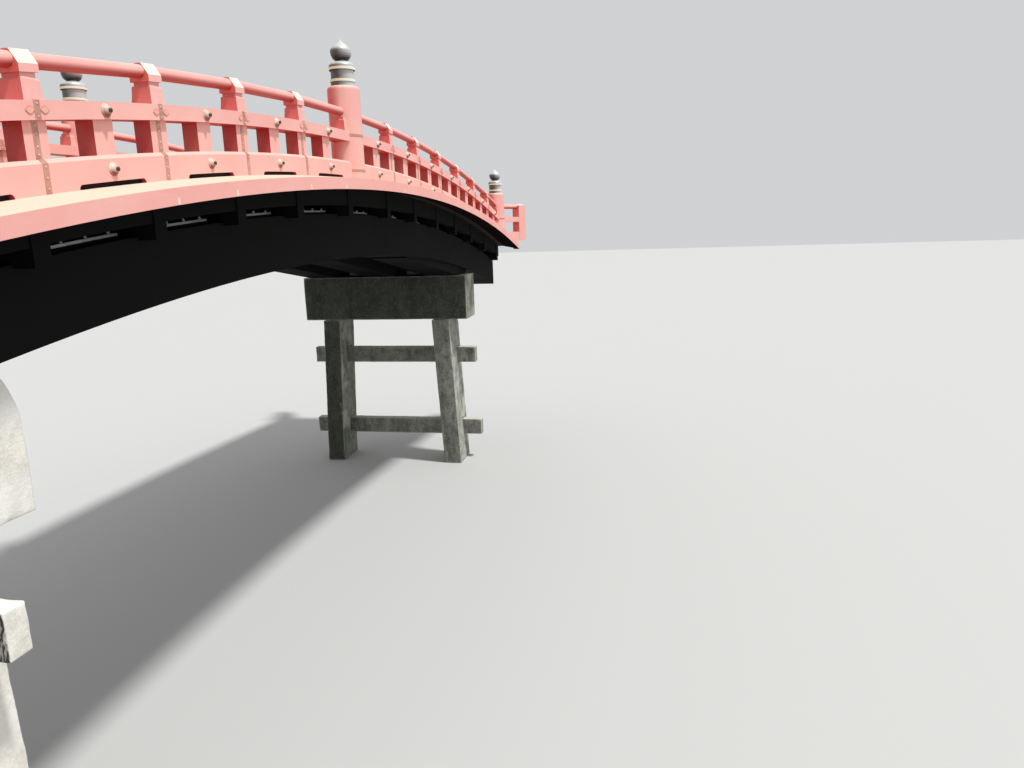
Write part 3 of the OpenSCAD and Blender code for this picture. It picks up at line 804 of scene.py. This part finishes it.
def band_profile(radius, low, high):
    """Outline of a chamfered band that goes round something of a given radius."""
    inner = radius - BAND_SINK
    outer = radius + BAND_PROUD
    return [(inner, low), (outer, low + BAND_CHAMFER), (outer, high - BAND_CHAMFER), (inner, high)]


def post_fittings():
    """Copper bands on the main posts and gilt bands on their finials."""
    bands, gilt = Heap(), Heap()
    for spot in post_spots():
        for low, high in POST_BANDS:
            bands.lathe(band_profile(POST_R, low, high), spot, UP, ALONG, BAND_STEPS)
        top = spot + UP * POST_H
        for radius, low, high in GILT_BANDS:
            gilt.lathe(band_profile(radius, low, high), top, UP, ALONG, BAND_STEPS)
    bands.make("post_bands", STRAP, "copper_strap")
    gilt.make("gilt_bands", GILT, "gilt_metal")


BAR_IN = 0.62
BAR_W = 0.08
BAR_FOOT = GIRDER_TOP + 0.036
BAR_TOP = GIRDER_TOP + 0.068
BAR_PARTS = 4
# How far a bar stops from the cross beam before it and from the balustrade position after it
BAR_START = 0.01
BAR_END = 0.23
# How far before that position each nub stands, and a nub's radius and height
NUB_PLACES = (1.14, 0.75, 0.35)
NUB_PROFILE = [(0.02, 0), (0.02, 0.034), (0.016, 0.042), (0.008, 0.046)]
NUB_SINK = 0.005


def girder_bars():
    """Pale metal bars on black packings on the outer girders, one in each bay, each with three nubs."""
    heap, packs = Heap(), Heap()
    for side in SIDES:
        near = side * (HALF_W - BAR_IN)
        far = side * (HALF_W - BAR_IN - BAR_W)
        for k in range(-BAYS, BAYS):
            start = place(k) + BEAM_T / 2 + BAR_START
            end = place(k + 1) - BAR_END
            for i in range(BAR_PARTS):
                cuts = [start + (end - start) * j / BAR_PARTS for j in (i, i + 1)]
                for strip, low, high in ((packs, GIRDER_TOP, BAR_FOOT), (heap, BAR_FOOT, BAR_TOP)):
                    section = [(near, low), (far, low), (far, high), (near, high)]
                    strip.prism(*[[(x, y, line_z(x, h)) for y, h in section] for x in cuts])
            for back in NUB_PLACES:
                x = place(k + 1) - back
                spot = Vector((x, (near + far) / 2, line_z(x, BAR_TOP - NUB_SINK)))
                heap.lathe(NUB_PROFILE, spot, UP, ALONG, 12)
    heap.make("girder_bars", BAR, "galvanised")
    packs.make("bar_packings", BLACK, "black_lacquer")


# Stage

FLOOR_SIZE = 400
FLOOR_LIT = srgb(160, 160, 158)
FLOOR_SEEN = srgb(192, 192, 189)
SKY = srgb(236, 238, 240)
SKY_STRENGTH = 0.75
SUN_ENERGY = 3.0
SUN_ANGLE = math.radians(5)
TO_SUN = Vector((-0.10, -0.42, 0.90))

# The camera, as it was fitted to the photograph
CAMERA_SPOT = Vector((-14.98, -8.948, 7.859))
CAMERA_YAW = math.radians(10.99)
CAMERA_PITCH = math.radians(11.625)
CAMERA_ROLL = math.radians(-1.862)
FOCAL_PIXELS = 780.2
PHOTO_W = 1024
SENSOR_W = 36
VIEW_FAR = 500


def floor_look():
    """Pale to the camera and in gloss, greyer in the light that it throws back at the bridge."""
    look = Look("floor", roughness=0.9, specular=0.2)
    rays = look.node("ShaderNodeLightPath")
    seen = rays.outputs["Is Camera Ray"]
    for kind in ("Is Glossy Ray", "Is Transmission Ray"):
        seen = look.larger(seen, rays.outputs[kind])
    look.colour(look.mix(seen, FLOOR_LIT, FLOOR_SEEN))
    return look.mat


def add_floor():
    """A plain pale floor at the level of the pillars' feet."""
    bpy.ops.mesh.primitive_plane_add(size=FLOOR_SIZE, location=(0, 0, 0))
    floor = bpy.context.object
    floor.name = "floor"
    floor.data.materials.append(floor_look())


def add_lights(scene):
    """A pale sky all round, and soft light from high on the downstream side."""
    world = bpy.data.worlds.new("studio")
    world.use_nodes = True
    background = world.node_tree.nodes["Background"]
    background.inputs["Color"].default_value = SKY
    background.inputs["Strength"].default_value = SKY_STRENGTH
    scene.world = world

    sun = bpy.data.lights.new("key", "SUN")
    sun.energy = SUN_ENERGY
    sun.angle = SUN_ANGLE
    key = bpy.data.objects.new("key", sun)
    key.rotation_euler = TO_SUN.to_track_quat("Z", "Y").to_euler()
    scene.collection.objects.link(key)


def add_camera(scene):
    """The photograph's camera."""
    ahead = Vector((math.cos(CAMERA_YAW) * math.cos(CAMERA_PITCH),
                    math.sin(CAMERA_YAW) * math.cos(CAMERA_PITCH), -math.sin(CAMERA_PITCH)))
    level_right = Vector((math.sin(CAMERA_YAW), -math.cos(CAMERA_YAW), 0))
    level_up = level_right.cross(ahead)
    right = level_right * math.cos(CAMERA_ROLL) + level_up * math.sin(CAMERA_ROLL)
    up = level_up * math.cos(CAMERA_ROLL) - level_right * math.sin(CAMERA_ROLL)
    lens = bpy.data.cameras.new("camera")
    lens.sensor_width = SENSOR_W
    lens.lens = FOCAL_PIXELS / PHOTO_W * SENSOR_W
    lens.clip_end = VIEW_FAR
    camera = bpy.data.objects.new("camera", lens)
    turn = Matrix((right, up, -ahead)).transposed()
    camera.matrix_world = Matrix.Translation(CAMERA_SPOT) @ turn.to_4x4()
    scene.collection.objects.link(camera)
    scene.camera = camera


def studio():
    """Floor, lights and camera."""
    scene = bpy.context.scene
    scene.view_settings.view_transform = "Standard"
    add_floor()
    add_lights(scene)
    add_camera(scene)


dress_frame()
deck_planks()
fittings()
post_fittings()
drain_shade_boards()
edge_clips()
girder_bars()
studio()
